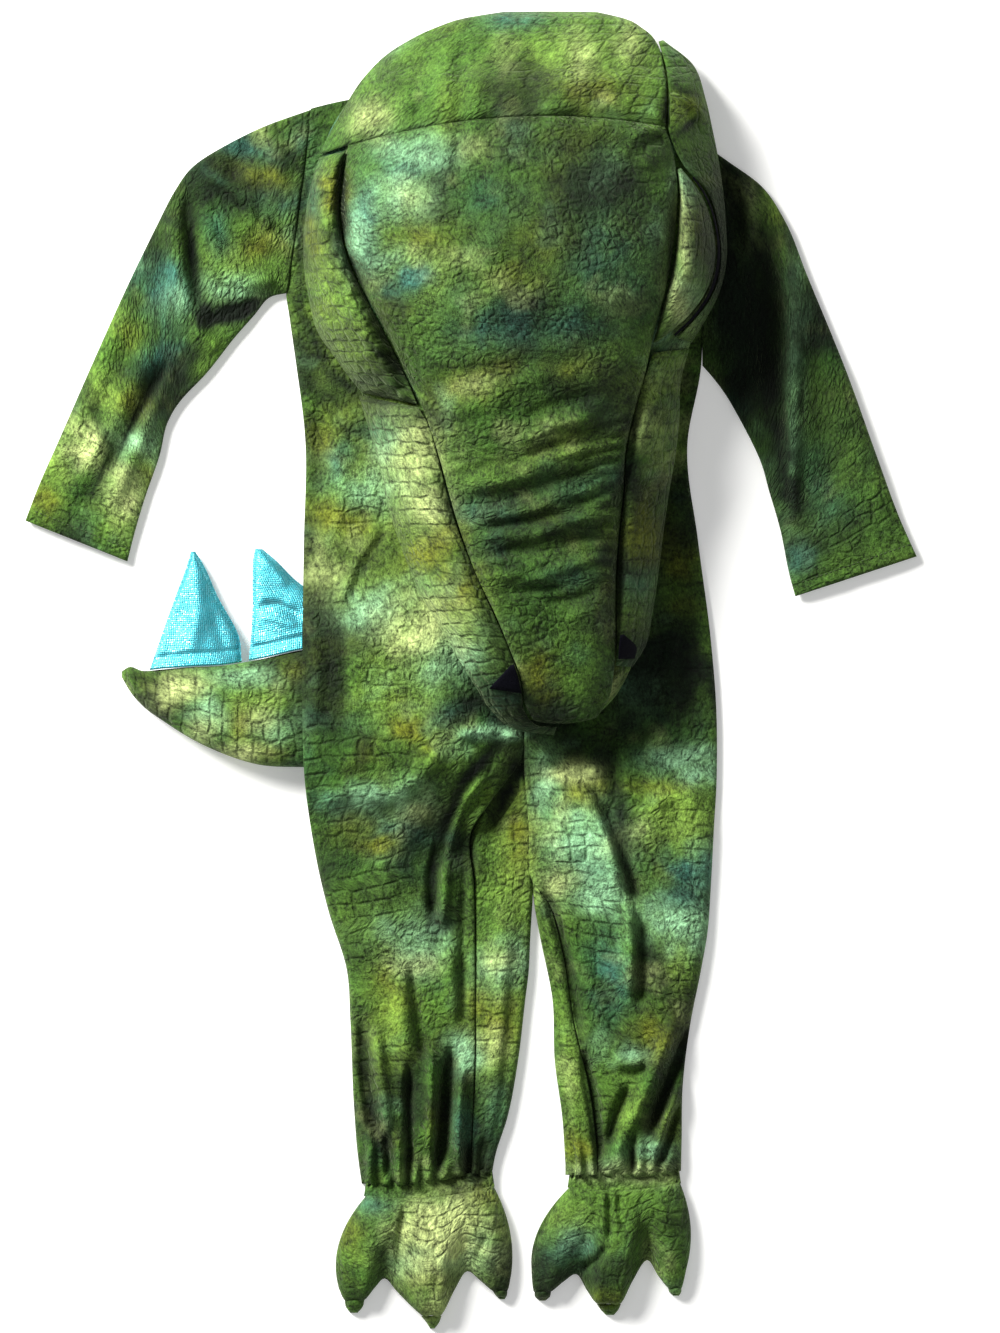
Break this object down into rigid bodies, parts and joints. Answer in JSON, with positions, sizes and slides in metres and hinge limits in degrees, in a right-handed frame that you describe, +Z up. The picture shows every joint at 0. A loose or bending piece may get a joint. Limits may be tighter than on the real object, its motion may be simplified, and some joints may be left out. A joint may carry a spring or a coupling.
{
  "type": "dinosaur costume",
  "caption": "Child's plush dinosaur costume laid flat on its back: hooded one-piece suit with a padded dinosaur head, stuffed tail with shiny spikes and clawed feet.",
  "frame": {"origin": "Centre of the bounding box in X and Y, on the surface that the costume lies on.", "axes": "+Y from the feet to the head, +Z up from the surface, +X to the right for someone looking down with the head at the top."},
  "size_m": [0.624, 0.922, 0.1214],
  "materials": {
    "plush": "brushed velour with printed reptile scales in mixed greens",
    "plush_light": "brushed velour with printed reptile scales in lighter greens",
    "lame": "shiny turquoise metallic-thread cloth",
    "nostril_cloth": "near-black soft cloth"
  },
  "bodies": {
    "root": {"front_left": "plush", "front_right": "plush", "back_left": "plush", "back_right": "plush", "sleeve_left": "plush", "sleeve_right": "plush", "casing_left": "plush", "casing_right": "plush", "foot_left": "plush_light", "foot_right": "plush_light", "sole_left": "plush_light", "sole_right": "plush_light", "claw_left_1": "plush_light", "claw_left_2": "plush_light", "claw_left_3": "plush_light", "claw_right_1": "plush_light", "claw_right_2": "plush_light", "claw_right_3": "plush_light", "tail_near": "plush", "tail_far": "plush", "spike_outer": "lame", "spike_inner": "lame", "hood_under": "plush", "hood_crown": "plush_light", "hood_brow": "plush", "hood_pod_left": "plush_light", "hood_pod_right": "plush_light", "hood_eye_right": "nostril_cloth", "hood_side_right": "plush", "hood_ear_fold": "plush_light", "jaw_left": "plush_light", "jaw_right": "plush_light", "nostril_left": "nostril_cloth", "nostril_right": "nostril_cloth"}
  },
  "joints": []
}
